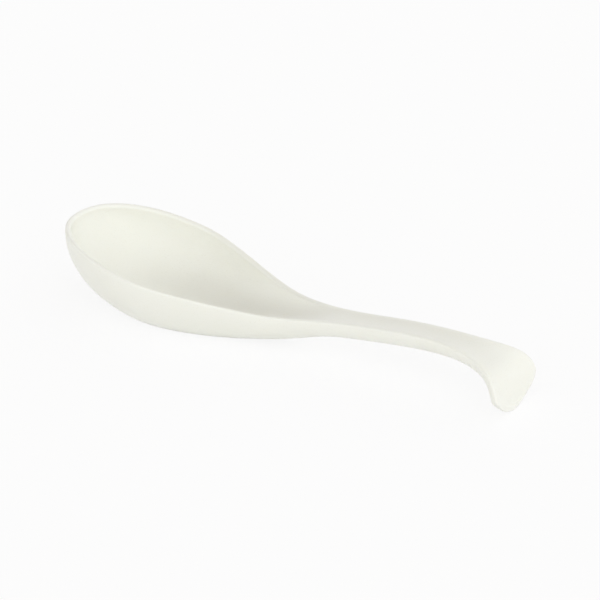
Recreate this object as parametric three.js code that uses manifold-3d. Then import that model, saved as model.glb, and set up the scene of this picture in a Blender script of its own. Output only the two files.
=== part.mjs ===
// Melamine soup spoon: a deep oval bowl, a faintly channelled handle and a hooked end, pressed as one piece.
// Millimetres, +Z up, standing on a table at z = 0. x = 0 lies under the belly, the handle runs to +X.
import * as THREE from "three";
import { mergeVertices } from "three/addons/utils/BufferGeometryUtils.js";
import Module from "manifold-3d";

// Side view of the rim line: heights over the table, level distances between its marks, falls in degrees,
// and how far each curve runs on straight at its ends
const TIP_HEIGHT = 25.5;
const TIP_FALL = 3;
const TIP_TO_DIP = 80.5;
const BOWL_PULL = 15;
const DIP_HEIGHT = 12.75;
const DIP_TO_SHOULDER = 75.9;
const HANDLE_PULL = 22;
const SHOULDER_HEIGHT = 15.5;
const SHOULDER_FALL = 18.6;
const BEND_RADIUS = 10.9;
const HOOK_FALL = 97.7;

// Plan: widths, and their stations along the rim line
const BOWL_WIDTH = 47;
const TIP_TO_WIDEST = 37.4;
const HANDLE_WIDTH = 9.8;
const TIP_TO_HANDLE = 114.7;
const HOOK_WIDTH = 25.8;
const HOOK_ROUND = 8.3;

// Section: the lip's thickness and the radius of its outer edge, depths under the rim line, and their
// stations along it. The floor is measured from the foot as it is before it is cut flat
const LIP = 2;
const EDGE = 0.6;
const FLOOR = 6;
const TIP_TO_BELLY = 47.8;
const TIP_TO_STEM = 104;
const HANDLE_DEPTH = 6.5;
const CHANNEL_DEPTH = 0.4;
const HOOK_DEPTH = 5.2;
const HOOK_DISH = 0.8;
const TOE_ROUND = 5;

// How far the round shape reaches below the table, where the foot and the toe are flat
const FOOT_CUT = 3.9;
const TOE_CUT = 0.3;

// Powers of the round outlines: 2 is an ellipse, more is squarer, less is more pointed
const NOSE_POWER = 2.16;
const HOOK_POWER = 1.4;

// Powers of a wall, along the middle to the tip and across it to the lip: a higher bow is squarer, and a rise
// under 1 is steeper where it ends
const OUTSIDE = { bow: 1.78, bowRise: 0.56, across: 2.42, acrossRise: 0.5 };
const BOWL_INSIDE = { bow: 2.2, bowRise: 0.72, across: 2.7, acrossRise: 0.62 };
const CHANNEL_INSIDE = { across: 2, acrossRise: 1 };

// Inner roll of the lip: the angle it turns through, and how far it sinks, as a share of its width
const BOWL_ROLL = { turn: 65, sink: 0.64 };
const CHANNEL_ROLL = { turn: 28, sink: 0.07 };

// Powers that move the middle of a blend: under 1 towards its start, over 1 towards its end
const WAIST_SHIFT = 0.788;
const FLARE_SHIFT = 2.87;
const STEM_SHIFT = 1.23;

// Facets along the bowl, handle, bend and hook, and across half a section
const ALONG = { bowl: 34, handle: 18, bend: 10, hook: 10 };
const ACROSS = { outside: 12, edge: 3, roll: 3, inside: 9 };

// Points closer than this are one point
const WELD = 1e-3;

const lerp = THREE.MathUtils.lerp;
const clamp = (t) => THREE.MathUtils.clamp(t, 0, 1);

// A point of the XZ plane, a distance away in the direction that falls by an angle from +X
const falling = (from, angle, distance) =>
  new THREE.Vector2(from.x + distance * Math.cos(angle), from.y - distance * Math.sin(angle));

// Blend from 0 to 1 that starts and ends level
const blend = (t, shift) => (1 - Math.cos(Math.PI * clamp(t) ** shift)) / 2;

// From 1 at t = 0, where it is level, down to 0 at t = 1: a quarter of a superellipse if no rise is given
const quarter = (t, power, rise = 1 / power) => (1 - clamp(t) ** power) ** rise;

// The rim line in the XZ plane, from the tip: bowl, handle, bend and hook, each level with the next
function rimLine() {
  const [tipFall, fall, drop] = [TIP_FALL, SHOULDER_FALL, HOOK_FALL].map(THREE.MathUtils.degToRad);
  const tip = new THREE.Vector2(0, TIP_HEIGHT);
  const dip = new THREE.Vector2(TIP_TO_DIP, DIP_HEIGHT);
  const shoulder = new THREE.Vector2(TIP_TO_DIP + DIP_TO_SHOULDER, SHOULDER_HEIGHT);
  const centre = falling(shoulder, fall + Math.PI / 2, BEND_RADIUS);
  const bendEnd = falling(centre, drop - Math.PI / 2, BEND_RADIUS);
  const toe = falling(bendEnd, drop, (bendEnd.y + TOE_CUT) / Math.sin(drop));
  const [from, to] = [Math.PI / 2 - fall, Math.PI / 2 - drop];
  const line = new THREE.CurvePath();
  const leaveTip = falling(tip, tipFall, BOWL_PULL);
  const meetDip = falling(dip, 0, -BOWL_PULL);
  line.add(new THREE.CubicBezierCurve(tip, leaveTip, meetDip, dip));
  const leaveDip = falling(dip, 0, HANDLE_PULL);
  const meetShoulder = falling(shoulder, fall, -HANDLE_PULL);
  line.add(new THREE.CubicBezierCurve(dip, leaveDip, meetShoulder, shoulder));
  line.add(new THREE.EllipseCurve(centre.x, centre.y, BEND_RADIUS, BEND_RADIUS, from, to, true));
  line.add(new THREE.LineCurve(bendEnd, toe));
  return line;
}

const rim = rimLine();
const [dipAt, shoulderAt, hookAt, length] = rim.getCurveLengths();

// Half width of the outline at station s, drawn in by an inset
function halfWidth(s, inset) {
  const bowl = BOWL_WIDTH / 2 - inset;
  const handle = HANDLE_WIDTH / 2 - inset;
  const hook = HOOK_WIDTH / 2 - inset;
  const hookWidest = length - HOOK_ROUND;
  if (s < TIP_TO_WIDEST) {
    return bowl * quarter((TIP_TO_WIDEST - s) / (TIP_TO_WIDEST - inset), NOSE_POWER);
  }
  if (s < TIP_TO_HANDLE) {
    return lerp(bowl, handle, blend((s - TIP_TO_WIDEST) / (TIP_TO_HANDLE - TIP_TO_WIDEST), WAIST_SHIFT));
  }
  if (s < hookWidest) {
    return lerp(handle, hook, blend((s - TIP_TO_HANDLE) / (hookWidest - TIP_TO_HANDLE), FLARE_SHIFT));
  }
  return hook * quarter((s - hookWidest) / (HOOK_ROUND - inset), HOOK_POWER);
}

// Depth along the middle at station s, from a full depth in the bowl to a handle and a hook depth
function midDepth(s, wall, full) {
  const { inset, below, power } = wall;
  const [handle, hook] = [wall.handle - below, wall.hook - below];
  const toeStart = length - inset - TOE_ROUND;
  if (s < TIP_TO_BELLY) {
    return full * quarter((TIP_TO_BELLY - s) / (TIP_TO_BELLY - inset), power.bow, power.bowRise);
  }
  if (s < TIP_TO_STEM) {
    return lerp(full, handle, blend((s - TIP_TO_BELLY) / (TIP_TO_STEM - TIP_TO_BELLY), STEM_SHIFT));
  }
  const depth = lerp(handle, hook, blend((s - TIP_TO_STEM) / (hookAt - TIP_TO_STEM), 1));
  return depth * quarter((s - toeStart) / TOE_ROUND, 2);
}

// Frame of the rim line at station s: its point and the direction square to it, away from the table
function frameAt(s) {
  const at = rim.getPoint(s / length);
  const along = rim.getTangent(s / length);
  return { at, up: new THREE.Vector3(-along.y, 0, along.x) };
}

// Points across half a wall at station s, from the middle out to the lip, where the wall starts below it
function wallRow(s, wall, steps) {
  const { at, up } = frameAt(s);
  const { inset, below, power } = wall;
  const width = halfWidth(s, inset);
  const full = at.y + FOOT_CUT - wall.floor - below;
  const depth = midDepth(s, wall, full);
  const row = [];
  for (let j = 0; j <= steps; j++) {
    const turn = (Math.PI / 2) * (1 - j / steps);
    const y = j ? width * Math.cos(turn) ** (2 / power.across) : 0;
    const n = below + depth * Math.sin(turn) ** (2 * power.acrossRise);
    row.push(new THREE.Vector3(at.x, y, at.y).addScaledVector(up, -n));
  }
  return row;
}

// One closed section: outside, edge, inner roll and inside of one half, then the same mirrored
function section(s) {
  const turned = blend((s - TIP_TO_BELLY) / (TIP_TO_STEM - TIP_TO_BELLY), 1);
  const rollEnd = THREE.MathUtils.degToRad(lerp(BOWL_ROLL.turn, CHANNEL_ROLL.turn, turned));
  const sink = (LIP - EDGE) * lerp(BOWL_ROLL.sink, CHANNEL_ROLL.sink, turned);
  const power = {
    ...BOWL_INSIDE,
    across: lerp(BOWL_INSIDE.across, CHANNEL_INSIDE.across, turned),
    acrossRise: lerp(BOWL_INSIDE.acrossRise, CHANNEL_INSIDE.acrossRise, turned),
  };
  const [handle, hook] = [HANDLE_DEPTH, HOOK_DEPTH];
  const outer = { inset: 0, below: EDGE, floor: 0, handle, hook, power: OUTSIDE };
  const inner = { inset: LIP, below: sink, floor: FLOOR, handle: CHANNEL_DEPTH, hook: HOOK_DISH, power };
  const outside = wallRow(s, outer, ACROSS.outside);
  const inside = wallRow(lerp(LIP, length - LIP, s / length), inner, ACROSS.inside).reverse();
  const { up } = frameAt(s);
  const outerEdge = outside.at(-1).clone().addScaledVector(up, EDGE);
  const innerEdge = inside[0].clone().addScaledVector(up, sink);
  const crest = outerEdge.clone().lerp(innerEdge, EDGE / LIP);
  const lip = [];
  for (let j = 1; j <= ACROSS.edge; j++) {
    const turn = (Math.PI / 2) * (j / ACROSS.edge);
    const point = outerEdge.clone().lerp(crest, 1 - Math.cos(turn));
    lip.push(point.addScaledVector(up, -EDGE * (1 - Math.sin(turn))));
  }
  for (let j = 1; j < ACROSS.roll; j++) {
    const turn = rollEnd * (j / ACROSS.roll);
    const point = crest.clone().lerp(innerEdge, Math.sin(turn) / Math.sin(rollEnd));
    lip.push(point.addScaledVector(up, (-sink * (1 - Math.cos(turn))) / (1 - Math.cos(rollEnd))));
  }
  const half = [...outside, ...lip, ...inside];
  const mirrored = half.slice(1, -1).reverse();
  return [...half, ...mirrored.map((p) => new THREE.Vector3(p.x, -p.y, p.z))];
}

// Stations along the rim line, closer together at the tip, in the bend and at the toe
function stations() {
  const list = [0];
  for (let i = 1; i <= ALONG.bowl; i++) {
    list.push(dipAt * (1 - Math.cos((Math.PI / 2) * (i / ALONG.bowl))));
  }
  for (let i = 1; i <= ALONG.handle; i++) {
    list.push(lerp(dipAt, shoulderAt, i / ALONG.handle));
  }
  for (let i = 1; i <= ALONG.bend; i++) {
    list.push(lerp(shoulderAt, hookAt, i / ALONG.bend));
  }
  for (let i = 1; i <= ALONG.hook; i++) {
    list.push(lerp(hookAt, length, Math.sin((Math.PI / 2) * (i / ALONG.hook))));
  }
  return list;
}

// Skin over the sections, welded where both ends close on themselves
function skin() {
  const sections = stations().map(section);
  const round = sections[0].length;
  const index = [];
  for (let i = 0; i + 1 < sections.length; i++) {
    for (let j = 0; j < round; j++) {
      const a = i * round + j;
      const b = i * round + ((j + 1) % round);
      index.push(a, b, a + round, b, b + round, a + round);
    }
  }
  const belly = rim.getPoint(TIP_TO_BELLY / length);
  const loose = new THREE.BufferGeometry().setFromPoints(sections.flat()).setIndex(index);
  const welded = mergeVertices(loose.translate(-belly.x, 0, 0), WELD);
  const corners = welded.index.array;
  const kept = [];
  for (let i = 0; i < corners.length; i += 3) {
    const [a, b, c] = corners.slice(i, i + 3);
    if (a !== b && b !== c && c !== a) kept.push(a, b, c);
  }
  return welded.setIndex(kept);
}

// Everything under the table, taken off to leave a flat foot and a flat toe
function underTable() {
  const box = new THREE.BoxGeometry(2 * length, 2 * BOWL_WIDTH, BOWL_WIDTH);
  box.deleteAttribute("normal");
  box.deleteAttribute("uv");
  return mergeVertices(box.translate(0, 0, -BOWL_WIDTH / 2), WELD);
}

const wasm = await Module();
wasm.setup();

function toSolid(geometry) {
  const vertProperties = geometry.attributes.position.array;
  const triVerts = new Uint32Array(geometry.index.array);
  return new wasm.Manifold(new wasm.Mesh({ numProp: 3, vertProperties, triVerts }));
}

function toGeometry(solid) {
  const mesh = solid.getMesh();
  const geometry = new THREE.BufferGeometry();
  geometry.setAttribute("position", new THREE.BufferAttribute(mesh.vertProperties, mesh.numProp));
  geometry.setIndex(new THREE.BufferAttribute(mesh.triVerts, 1));
  geometry.computeVertexNormals();
  return geometry;
}

const melamine = new THREE.MeshStandardMaterial({ color: "#e9e8da", roughness: 0.25, metalness: 0 });
const ground = toGeometry(toSolid(skin()).subtract(toSolid(underTable())));
const spoon = new THREE.Mesh(ground, melamine);
spoon.name = "spoon";

const assembly = new THREE.Group();
assembly.name = "melamine_spoon";
assembly.add(spoon);

export default assembly;
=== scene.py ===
"""Looks of a melamine soup spoon, in metres, +Z up, standing on a table at z = 0 with its handle along +X."""
from typing import NamedTuple

import bmesh
import bpy
import numpy as np
from mathutils import Matrix, Vector


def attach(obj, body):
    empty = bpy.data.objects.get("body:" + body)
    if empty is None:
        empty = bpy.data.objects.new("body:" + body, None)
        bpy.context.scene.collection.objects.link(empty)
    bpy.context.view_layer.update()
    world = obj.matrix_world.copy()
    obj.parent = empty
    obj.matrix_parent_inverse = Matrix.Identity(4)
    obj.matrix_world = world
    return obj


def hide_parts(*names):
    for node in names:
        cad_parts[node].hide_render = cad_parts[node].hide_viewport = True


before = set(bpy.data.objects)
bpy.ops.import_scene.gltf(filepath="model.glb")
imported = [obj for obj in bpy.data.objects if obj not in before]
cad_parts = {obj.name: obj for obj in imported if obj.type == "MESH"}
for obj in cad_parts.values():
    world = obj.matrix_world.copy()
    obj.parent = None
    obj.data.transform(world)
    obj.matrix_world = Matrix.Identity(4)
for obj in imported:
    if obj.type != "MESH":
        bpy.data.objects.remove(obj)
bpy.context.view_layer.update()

# Spoon: bowl, handle and hook are one piece of ivory melamine. Powder is pressed between two halves of a hot,
# polished mould that meet along the outer edge of the rim, where the flash is sanded off afterwards.
# The bowl has a flat foot and the hook a small flat toe, both in one plane, so that the spoon stands.

# Side view of the rim line: heights over the table, level distances, falls in degrees, straight starts
TIP_HEIGHT = 0.0255
TIP_FALL = 3
TIP_TO_DIP = 0.0805
BOWL_PULL = 0.015
DIP_HEIGHT = 0.01275
DIP_TO_SHOULDER = 0.0759
HANDLE_PULL = 0.022
SHOULDER_HEIGHT = 0.0155
SHOULDER_FALL = 18.6
BEND_RADIUS = 0.0109
HOOK_FALL = 97.7

# Plan: widths, and their stations along the rim line
BOWL_WIDTH = 0.047
TIP_TO_WIDEST = 0.0374
HANDLE_WIDTH = 0.0098
TIP_TO_HANDLE = 0.1147
HOOK_WIDTH = 0.0258
HOOK_ROUND = 0.0083

# Section: the lip's thickness and outer edge, depths under the rim line, and their stations along it
LIP = 0.002
EDGE = 0.0006
FLOOR = 0.006
TIP_TO_BELLY = 0.0478
TIP_TO_STEM = 0.104
HANDLE_DEPTH = 0.0065
CHANNEL_DEPTH = 0.0004
HOOK_DEPTH = 0.0052
HOOK_DISH = 0.0008
TOE_ROUND = 0.005

# How far the round shape would reach below the table, where the foot and the toe are flat, and how far their
# edges are eased
FOOT_CUT = 0.0039
TOE_CUT = 0.0003
FLAT_EASE = 0.0004

# Powers of the round outlines, of the walls across the spoon and along its middle, and of the blends.
# The lip's inner roll sinks by a share of its width while it turns through an angle in degrees
NOSE_POWER = 2.16
HOOK_POWER = 1.4
OUTSIDE_ACROSS, OUTSIDE_WALL = 2.42, 0.5
BOWL_ACROSS, BOWL_WALL = 2.7, 0.62
CHANNEL_ACROSS, CHANNEL_WALL = 2.0, 1.0
BOWL_SINK, CHANNEL_SINK = 0.64, 0.07
BOWL_ROLL, CHANNEL_ROLL = 65, 28
OUTSIDE_BOW, OUTSIDE_RISE = 1.78, 0.56
INSIDE_BOW, INSIDE_RISE = 2.2, 0.72
WAIST_SHIFT = 0.788
FLARE_SHIFT = 2.87
STEM_SHIFT = 1.23

# Steps of the grid: along the bowl, handle, bend and hook, and across half a section
BOWL_STEPS, HANDLE_STEPS, BEND_STEPS, HOOK_STEPS = 130, 60, 36, 36
OUTSIDE_STEPS, LIP_STEPS, INSIDE_STEPS = 48, 8, 40


def blend(t, shift=1.0):
    """Rises from 0 to 1 as half a wave of a cosine of t from 0 to 1. A power of t moves its middle."""
    return (1 - np.cos(np.pi * np.clip(t, 0, 1) ** shift)) / 2


def quarter(t, power, rise=None):
    """Falls from 1, where it is level, to 0 as (1 - t ** power) ** rise. It is a quarter of a superellipse
    where the rise is 1 / power, as it is if none is given.
    """
    return (1 - np.clip(t, 0, 1) ** power) ** (rise or 1 / power)


def mix(start, end, share):
    """Straight mix of two values or arrays."""
    return start + (end - start) * share


def heading(fall):
    """Direction in the side view, as x and z, that falls by an angle in degrees from +X."""
    fall = np.radians(fall)
    return np.stack([np.cos(fall), -np.sin(fall)], axis=-1)


def bezier(corners, t):
    """Cubic Bezier curve: its four corners weighed by the Bernstein terms of t."""
    weights = np.stack([(1 - t) ** 3, 3 * t * (1 - t) ** 2, 3 * t**2 * (1 - t), t**3], axis=-1)
    return weights @ np.array(corners)


def rim_line(samples=600):
    """Rim seen from the side: cubic Bezier curves for bowl and handle, an arc for the bend, a straight hook.

    Gives the samples as x and z, their distance along the line, and the distance at the end of each curve.
    """
    t = np.linspace(0, 1, samples)
    tip = np.array([0, TIP_HEIGHT])
    dip = np.array([TIP_TO_DIP, DIP_HEIGHT])
    shoulder = np.array([TIP_TO_DIP + DIP_TO_SHOULDER, SHOULDER_HEIGHT])
    leave_tip = tip + BOWL_PULL * heading(TIP_FALL)
    meet_dip = dip - BOWL_PULL * heading(0)
    leave_dip = dip + HANDLE_PULL * heading(0)
    meet_shoulder = shoulder - HANDLE_PULL * heading(SHOULDER_FALL)
    bowl = bezier([tip, leave_tip, meet_dip, dip], t)
    handle = bezier([dip, leave_dip, meet_shoulder, shoulder], t)
    centre = shoulder + BEND_RADIUS * heading(SHOULDER_FALL + 90)
    bend = centre + BEND_RADIUS * heading(mix(SHOULDER_FALL, HOOK_FALL, t) - 90)
    hook_run = (bend[-1, 1] + TOE_CUT) / np.sin(np.radians(HOOK_FALL))
    hook = bend[-1] + (hook_run * t)[:, None] * heading(HOOK_FALL)
    points = np.concatenate([bowl, handle[1:], bend[1:], hook[1:]])
    steps = np.linalg.norm(np.diff(points, axis=0), axis=1)
    distance = np.concatenate([[0], np.cumsum(steps)])
    ends = distance[samples - 1 :: samples - 1]
    return points, distance, ends


rim_points, rim_distance, (dip_at, shoulder_at, hook_at, length) = rim_line()
rim_headings = np.gradient(rim_points, rim_distance, axis=0)


def along_rim(s):
    """Point of the rim line at distance s and the direction square to it, away from the table."""
    x, z = (np.interp(s, rim_distance, column) for column in rim_points.T)
    dx, dz = (np.interp(s, rim_distance, column) for column in rim_headings.T)
    size = np.hypot(dx, dz)
    zero = np.zeros_like(s)
    return np.stack([x, zero, z], axis=-1), np.stack([-dz / size, zero, dx / size], axis=-1)


def half_width(s, inset):
    """Half the outline's width: superellipses at the nose and at the toe, cosine blends between them."""
    bowl, handle, hook = (width / 2 - inset for width in (BOWL_WIDTH, HANDLE_WIDTH, HOOK_WIDTH))
    widest = length - HOOK_ROUND
    nose = bowl * quarter((TIP_TO_WIDEST - s) / (TIP_TO_WIDEST - inset), NOSE_POWER)
    waist = mix(bowl, handle, blend((s - TIP_TO_WIDEST) / (TIP_TO_HANDLE - TIP_TO_WIDEST), WAIST_SHIFT))
    flare = mix(handle, hook, blend((s - TIP_TO_HANDLE) / (widest - TIP_TO_HANDLE), FLARE_SHIFT))
    toe = hook * quarter((s - widest) / (HOOK_ROUND - inset), HOOK_POWER)
    return np.select([s < TIP_TO_WIDEST, s < TIP_TO_HANDLE, s < widest], [nose, waist, flare], toe)


class Wall(NamedTuple):
    """One of the two walls: how far it lies inside the outline and starts below the rim line, its floor's
    height over the lowest point, its depths in handle and hook, and its powers along the middle and across.
    """

    inset: float
    below: float
    floor: float
    handle: float
    hook: float
    bow: float
    rise: float
    across: float
    steep: float


def mid_depth(s, wall, full):
    """Depth along the middle: (1 - t ** bow) ** rise to the tip, cosine blends to handle and hook."""
    handle, hook = wall.handle - wall.below, wall.hook - wall.below
    nose = full * quarter((TIP_TO_BELLY - s) / (TIP_TO_BELLY - wall.inset), wall.bow, wall.rise)
    stem = mix(full, handle, blend((s - TIP_TO_BELLY) / (TIP_TO_STEM - TIP_TO_BELLY), STEM_SHIFT))
    grip = mix(handle, hook, blend((s - TIP_TO_STEM) / (hook_at - TIP_TO_STEM)))
    grip = grip * quarter((s - (length - wall.inset - TOE_ROUND)) / TOE_ROUND, 2)
    return np.select([s < TIP_TO_BELLY, s < TIP_TO_STEM], [nose, stem], grip)


def wall_points(s, wall, steps):
    """Half a wall from the middle to the lip: a grid of distances along the rim by steps of a quarter turn.

    Sideways it is the half width times cos(turn) ** (2 / across), and square to the rim line it is
    the depth along the middle times sin(turn) ** (2 * steep).
    """
    at, up = along_rim(s)
    full = at[:, 2] + FOOT_CUT - wall.floor - wall.below
    depth = mid_depth(s, wall, full)[:, None]
    varying = wall.below, wall.across, wall.steep
    below, across, steep = (np.broadcast_to(value, s.shape)[:, None] for value in varying)
    turn = np.linspace(np.pi / 2, 0, steps + 1)[None, :]
    side = half_width(s, wall.inset)[:, None] * np.cos(turn).clip(0) ** (2 / across)
    down = below + depth * np.sin(turn) ** (2 * steep)
    points = at[:, None, :] - down[:, :, None] * up[:, None, :]
    points[:, :, 1] = side
    points[:, 0, 1] = 0
    return points


def half_section(s):
    """Half of each closed section at the distances s: outside wall, lip and inside wall.

    The lip's outer edge is a quarter round up to its crest. Its inner roll is an arc that turns on from
    there, stretched to the lip's width and sink. Towards the handle the roll flattens and the bowl's
    inside wall turns into a shallow channel.
    """
    turned = blend((s - TIP_TO_BELLY) / (TIP_TO_STEM - TIP_TO_BELLY))
    sink = (LIP - EDGE) * mix(BOWL_SINK, CHANNEL_SINK, turned)
    across = mix(BOWL_ACROSS, CHANNEL_ACROSS, turned)
    steep = mix(BOWL_WALL, CHANNEL_WALL, turned)
    outer_powers = OUTSIDE_BOW, OUTSIDE_RISE, OUTSIDE_ACROSS, OUTSIDE_WALL
    outer = Wall(0, EDGE, 0, HANDLE_DEPTH, HOOK_DEPTH, *outer_powers)
    inner = Wall(LIP, sink, FLOOR, CHANNEL_DEPTH, HOOK_DISH, INSIDE_BOW, INSIDE_RISE, across, steep)
    outside = wall_points(s, outer, OUTSIDE_STEPS)
    inside = wall_points(mix(LIP, length - LIP, s / length), inner, INSIDE_STEPS)[:, ::-1]

    up = along_rim(s)[1]
    outer_edge = outside[:, -1] + EDGE * up
    inner_edge = inside[:, 0] + sink[:, None] * up
    crest = mix(outer_edge, inner_edge, EDGE / LIP)
    outer_edge, inner_edge, crest, up = (row[:, None] for row in (outer_edge, inner_edge, crest, up))
    share = np.linspace(0, 1, LIP_STEPS + 1)[None, :, None]
    turn = np.pi / 2 * share[:, 1:]
    outer_roll = mix(outer_edge, crest, 1 - np.cos(turn)) - EDGE * (1 - np.sin(turn)) * up
    end = np.radians(mix(BOWL_ROLL, CHANNEL_ROLL, turned))[:, None, None]
    turn = end * share[:, 1:-1]
    sunk = sink[:, None, None] * (1 - np.cos(turn)) / (1 - np.cos(end))
    inner_roll = mix(crest, inner_edge, np.sin(turn) / np.sin(end)) - sunk * up
    return np.concatenate([outside, outer_roll, inner_roll, inside], axis=1)


def stations():
    """Distances along the rim line, closer together at the tip and at the toe."""
    bowl = dip_at * (1 - np.cos(np.linspace(0, np.pi / 2, BOWL_STEPS + 1)))
    handle = np.linspace(dip_at, shoulder_at, HANDLE_STEPS + 1)
    bend = np.linspace(shoulder_at, hook_at, BEND_STEPS + 1)
    hook = mix(hook_at, length, np.sin(np.linspace(0, np.pi / 2, HOOK_STEPS + 1)))
    return np.concatenate([bowl, handle[1:], bend[1:], hook[1:]])


def flattened(z):
    """Heights with a flat bottom: z over its edge, 0 under it, a parabola between them within FLAT_EASE."""
    eased = (z + FLAT_EASE) ** 2 / (4 * FLAT_EASE)
    return np.select([z > FLAT_EASE, z > -FLAT_EASE], [z, eased], 0)


def near(points, column, width):
    """Bell curve exp(-(d / width) ** 2) of the distance d to the point in one column of the same section."""
    distance = np.linalg.norm(points - points[:, column : column + 1], axis=-1)
    return np.exp(-((distance / width) ** 2))


# One half of the skin, with x = 0 under the belly
along = stations()
half = half_section(along)
half[..., 0] -= np.interp(TIP_TO_BELLY, rim_distance, rim_points[:, 0])

# Where the skin isn't as it left the mould: the sanded parting line at the lip's outer edge, the lip rubbed
# by plates at the tip and by bowls at the hook, and the foot and the toe, scuffed by tables
PARTING_WIDTH = 0.0005
RUB_WIDTH = 0.0009
TIP_RUB, HOOK_RUB = 0.018, 0.02
SCUFF_HEIGHT = 0.0005
rub_share = np.maximum(1 - along / TIP_RUB, (along - (length - HOOK_RUB)) / HOOK_RUB)
skin_marks = {
    "parting": near(half, OUTSIDE_STEPS, PARTING_WIDTH),
    "rubbed": near(half, OUTSIDE_STEPS + LIP_STEPS, RUB_WIDTH) * blend(rub_share)[:, None],
    "scuffed": 1 - blend(half[..., 2] / SCUFF_HEIGHT),
}
half[..., 2] = flattened(half[..., 2])

# The whole skin: each section goes once around, so the mirrored half runs back, without its two end points
grid = np.concatenate([half, half[:, -2:0:-1] * [1, -1, 1]], axis=1)
rows, around = grid.shape[:2]
corner = np.arange(rows * around).reshape(rows, around)
following = np.roll(corner, -1, axis=1)
quads = np.stack([corner[:-1], following[:-1], following[1:], corner[1:]], axis=-1).reshape(-1, 4)

mesh = bpy.data.meshes.new("spoon_skin")
mesh.from_pydata(grid.reshape(-1, 3), [], quads)
for name, mark in skin_marks.items():
    values = np.concatenate([mark, mark[:, -2:0:-1]], axis=1)
    mesh.attributes.new(name, "FLOAT", "POINT").data.foreach_set("value", values.ravel().astype(np.float32))

# The first and the last section are folded flat, so their two halves are sewn together
SEW_DISTANCE = 1e-7
skin = bmesh.new()
skin.from_mesh(mesh)
bmesh.ops.remove_doubles(skin, verts=skin.verts, dist=SEW_DISTANCE)
skin.to_mesh(mesh)
skin.free()
mesh.polygons.foreach_set("use_smooth", np.ones(len(mesh.polygons), dtype=bool))
mesh.update()

spoon = bpy.data.objects.new("melamine_spoon", mesh)
bpy.context.scene.collection.objects.link(spoon)


class ShaderTree:
    """Shader nodes of one material or world, with short calls for the kinds that are used most."""

    def __init__(self, owner):
        owner.use_nodes = True
        self.nodes = owner.node_tree.nodes
        self.links = owner.node_tree.links

    def feed(self, node, inputs):
        """Sets or links inputs of a node, by name or number."""
        for key, value in inputs.items():
            if isinstance(value, bpy.types.NodeSocket):
                self.links.new(value, node.inputs[key])
            else:
                node.inputs[key].default_value = value

    def add(self, kind, inputs=None, **options):
        """Adds a node with its options and inputs."""
        node = self.nodes.new(kind)
        for key, value in options.items():
            setattr(node, key, value)
        self.feed(node, inputs or {})
        return node

    def noise(self, vector, cells, detail):
        """Noise with so many cells to the metre."""
        inputs = {"Vector": vector, "Scale": cells, "Detail": detail}
        return self.add("ShaderNodeTexNoise", inputs).outputs["Fac"]

    def step_up(self, value, start, end, height=1.0):
        """Value that rises from 0 to a height between a start and an end, smoothly."""
        inputs = {"Value": value, "From Min": start, "From Max": end, "To Max": height}
        return self.add("ShaderNodeMapRange", inputs, interpolation_type="SMOOTHSTEP").outputs[0]

    def arithmetic(self, operation, first, second):
        """Two values added, multiplied or the like."""
        return self.add("ShaderNodeMath", {0: first, 1: second}, operation=operation).outputs[0]

    def tinted(self, share, first, second):
        """Colour that a share turns from the first to the second. A Mix node has colours at 6, 7 and 2."""
        return self.add("ShaderNodeMix", {0: share, 6: first, 7: second}, data_type="RGBA").outputs[2]

    def mixed(self, share, first, second):
        """Shader that a share turns from the first to the second."""
        return self.add("ShaderNodeMixShader", {0: share, 1: first, 2: second}).outputs[0]


# Ivory melamine: even and glossy, with a faint cloudiness and fine flecks of cellulose in its colour. The
# skin has a trace of orange peel and hairline rubs along it. Sanded, rubbed and scuffed places are duller.
IVORY = (0.88, 0.886, 0.82, 1)
IVORY_CLOUD = (0.862, 0.865, 0.788, 1)
FLECK = (0.76, 0.745, 0.63, 1)
FLECK_SHARE = 0.24
CHALKED = (0.9, 0.9, 0.86, 1)
CHALK_SHARE = 0.4
GLOSS_ROUGHNESS, CLOUDED_ROUGHNESS = 0.31, 0.39
RUB_DULLS, PARTING_DULLS, WEAR_DULLS, SCUFF_DULLS = 0.14, 0.14, 0.12, 0.24
PEEL_HEIGHT = 0.00003
SCRATCH_DEPTH = 0.000012

# Its patterns: cells to the metre and detail of a noise, and the levels of that noise between which the
# pattern comes in. Hairlines and scuffs are drawn out along the spoon
CLOUDS = 70, 3
FLECKS, FLECK_LEVELS = (2400, 1), (0.6, 0.72)
HAIRLINES, HAIRLINE_LEVELS = (2600, 2), (0.58, 0.68)
HAIRLINE_AREAS, AREA_LEVELS = (45, 2), (0.4, 0.65)
SCUFFS, SCUFF_LEVELS = (1100, 3), (0.42, 0.6)
DULL_AREAS, DULL_LEVELS = (38, 2), (0.35, 0.65)
PEEL = 620, 1
DRAWN_OUT = (0.03, 1, 1)

# A small share of the light goes in under the skin and comes out again within a short reach, longest in red
REFRACTIVE_INDEX = 1.6
UNDER_SKIN_SHARE = 0.06
UNDER_SKIN_REACH = 0.002
REACH_BY_COLOUR = (1.0, 0.9, 0.7)

melamine = bpy.data.materials.new("ivory_melamine")
ivory = ShaderTree(melamine)
place = ivory.add("ShaderNodeTexCoord").outputs["Object"]
drawn_out = ivory.add("ShaderNodeMapping", {"Vector": place, "Scale": DRAWN_OUT}).outputs[0]
parting, rubbed, scuffed = (
    ivory.add("ShaderNodeAttribute", attribute_name=name).outputs["Fac"] for name in skin_marks
)
hairlines = ivory.step_up(ivory.noise(drawn_out, *HAIRLINES), *HAIRLINE_LEVELS)
hairline_areas = ivory.step_up(ivory.noise(place, *HAIRLINE_AREAS), *AREA_LEVELS)
scratches = ivory.arithmetic("MULTIPLY", hairlines, hairline_areas)
scuff_marks = ivory.step_up(ivory.noise(drawn_out, *SCUFFS), *SCUFF_LEVELS)
scuffs = ivory.arithmetic("MULTIPLY", scuff_marks, scuffed)

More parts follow.
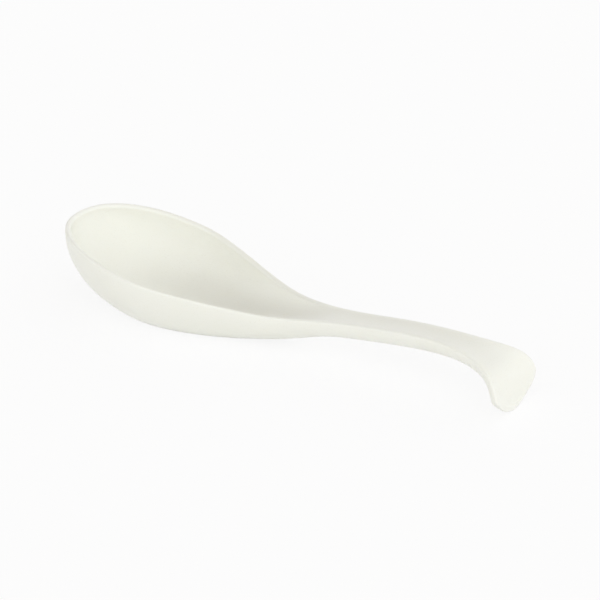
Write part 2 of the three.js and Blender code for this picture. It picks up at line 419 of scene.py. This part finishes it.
flecks = ivory.step_up(ivory.noise(place, *FLECKS), *FLECK_LEVELS, FLECK_SHARE)
clouded = ivory.tinted(ivory.noise(place, *CLOUDS), IVORY, IVORY_CLOUD)
flecked = ivory.tinted(flecks, clouded, FLECK)
worn = ivory.arithmetic("MULTIPLY", ivory.arithmetic("MAXIMUM", rubbed, scuffs), CHALK_SHARE)

dull_range = CLOUDED_ROUGHNESS - GLOSS_ROUGHNESS
dull_areas = ivory.step_up(ivory.noise(place, *DULL_AREAS), *DULL_LEVELS, dull_range)
roughness = ivory.arithmetic("ADD", dull_areas, GLOSS_ROUGHNESS)
dull_marks = (scratches, RUB_DULLS), (parting, PARTING_DULLS), (rubbed, WEAR_DULLS), (scuffs, SCUFF_DULLS)
for mark, dulls in dull_marks:
    roughness = ivory.arithmetic("ADD", roughness, ivory.arithmetic("MULTIPLY", mark, dulls))

peel = {"Height": ivory.noise(place, *PEEL), "Distance": PEEL_HEIGHT}
peeled = ivory.add("ShaderNodeBump", peel).outputs[0]
cuts = ivory.arithmetic("MAXIMUM", scratches, scuffs)
scratched = {"Height": cuts, "Distance": SCRATCH_DEPTH, "Normal": peeled}
skin_inputs = {
    "Base Color": ivory.tinted(worn, flecked, CHALKED),
    "Roughness": roughness,
    "Normal": ivory.add("ShaderNodeBump", scratched, invert=True).outputs[0],
    "IOR": REFRACTIVE_INDEX,
    "Subsurface Weight": UNDER_SKIN_SHARE,
    "Subsurface Radius": REACH_BY_COLOUR,
    "Subsurface Scale": UNDER_SKIN_REACH,
}
ivory.feed(ivory.nodes["Principled BSDF"], skin_inputs)
spoon.data.materials.append(melamine)

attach(spoon, "root")
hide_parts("spoon")

# Table: a plain white top a hair under the foot, so wide that its edge is out of view. Most of what shows of
# it, to the camera and in reflections, is even white. The rest is the light on it, with the spoon's shadow.
# From below it is clear.
TABLE_SIZE = 6
TABLE_GAP = 0.00002
TABLE_WHITE = (0.93, 0.93, 0.93, 1)
SHADOW_SHARE = 0.15
FULL_WHITE = (1, 1, 1, 1)
bpy.ops.mesh.primitive_plane_add(size=TABLE_SIZE)
table = bpy.context.object
table.name = "table"
table.data.transform(Matrix.Translation((0, 0, -TABLE_GAP)))
white = bpy.data.materials.new("white_table")
table_top = ShaderTree(white)
table_top.nodes.clear()
path = table_top.add("ShaderNodeLightPath").outputs
seen = table_top.arithmetic("MAXIMUM", path["Is Camera Ray"], path["Is Glossy Ray"])
seen = table_top.arithmetic("MAXIMUM", seen, path["Is Transmission Ray"])
bright_share = table_top.arithmetic("MULTIPLY", seen, 1 - SHADOW_SHARE)
lit = table_top.add("ShaderNodeBsdfDiffuse", {"Color": TABLE_WHITE}).outputs[0]
bright = table_top.add("ShaderNodeEmission", {"Color": FULL_WHITE, "Strength": 1}).outputs[0]
clear = table_top.add("ShaderNodeBsdfTransparent").outputs[0]
below = table_top.add("ShaderNodeNewGeometry").outputs["Backfacing"]
surface = table_top.mixed(below, table_top.mixed(bright_share, lit, bright), clear)
table_top.add("ShaderNodeOutputMaterial", {"Surface": surface})
table.data.materials.append(white)

# Studio: a white room with a dark patch high up behind the spoon on the left, and a lamp's soft glow from the
# front right, so that the slope from bowl to handle lies in shade.

# Bearings and angles in degrees. The patch fades out between a full and an outer angle from its middle, and
# the glow as a power of the cosine of the angle from its own
ROOM_LIGHT = 1.09
DARK_WALL = (0.06, 0.02, 0.01, 1)
DARK_BEARING = 250, 54
DARK_FULL, DARK_OUTER = 20, 41
GLOW_LIGHT = 0.47
GLOW_BEARING = 47, 33
GLOW_POWER = 10


def bearing(azimuth, elevation):
    """Direction from the spoon, with degrees counted from its front side, -Y, towards its hook, and up."""
    azimuth, elevation = np.radians([azimuth, elevation])
    level = np.cos(elevation)
    return Vector((np.sin(azimuth) * level, -np.cos(azimuth) * level, np.sin(elevation)))


world = bpy.data.worlds.new("studio")
bpy.context.scene.world = world
studio = ShaderTree(world)
studio.nodes.clear()
way = studio.add("ShaderNodeTexCoord").outputs["Generated"]
to_dark, to_glow = (
    studio.add("ShaderNodeVectorMath", {0: way, 1: bearing(*side)}, operation="DOT_PRODUCT").outputs["Value"]
    for side in (DARK_BEARING, GLOW_BEARING)
)
dark = studio.step_up(to_dark, *np.cos(np.radians([DARK_OUTER, DARK_FULL])))
walls = studio.tinted(dark, FULL_WHITE, DARK_WALL)
falloff = studio.arithmetic("POWER", studio.arithmetic("MAXIMUM", to_glow, 0), GLOW_POWER)
glow = studio.arithmetic("MULTIPLY", falloff, GLOW_LIGHT)
room = studio.add("ShaderNodeBackground", {"Color": walls, "Strength": ROOM_LIGHT}).outputs[0]
lamp = studio.add("ShaderNodeBackground", {"Color": FULL_WHITE, "Strength": glow}).outputs[0]
light = studio.add("ShaderNodeAddShader", {0: room, 1: lamp}).outputs[0]
studio.add("ShaderNodeOutputWorld", {"Surface": light})

# Camera: on the right of the spoon's front side and above it, about as far as a table is from the eye, and
# aimed near the middle of the spoon.
AZIMUTH = 32
ELEVATION = 27
DISTANCE = 0.7
AIM = Vector((0.03861, 0.00172, 0.01515))
LENS = 133.5
camera = bpy.data.cameras.new("camera")
camera.lens = LENS
camera_body = bpy.data.objects.new("camera", camera)
back = bearing(AZIMUTH, ELEVATION)
camera_body.location = AIM + DISTANCE * back
camera_body.rotation_euler = (-back).to_track_quat("-Z", "Y").to_euler()
bpy.context.scene.collection.objects.link(camera_body)
bpy.context.scene.camera = camera_body
bpy.context.scene.view_settings.view_transform = "Standard"
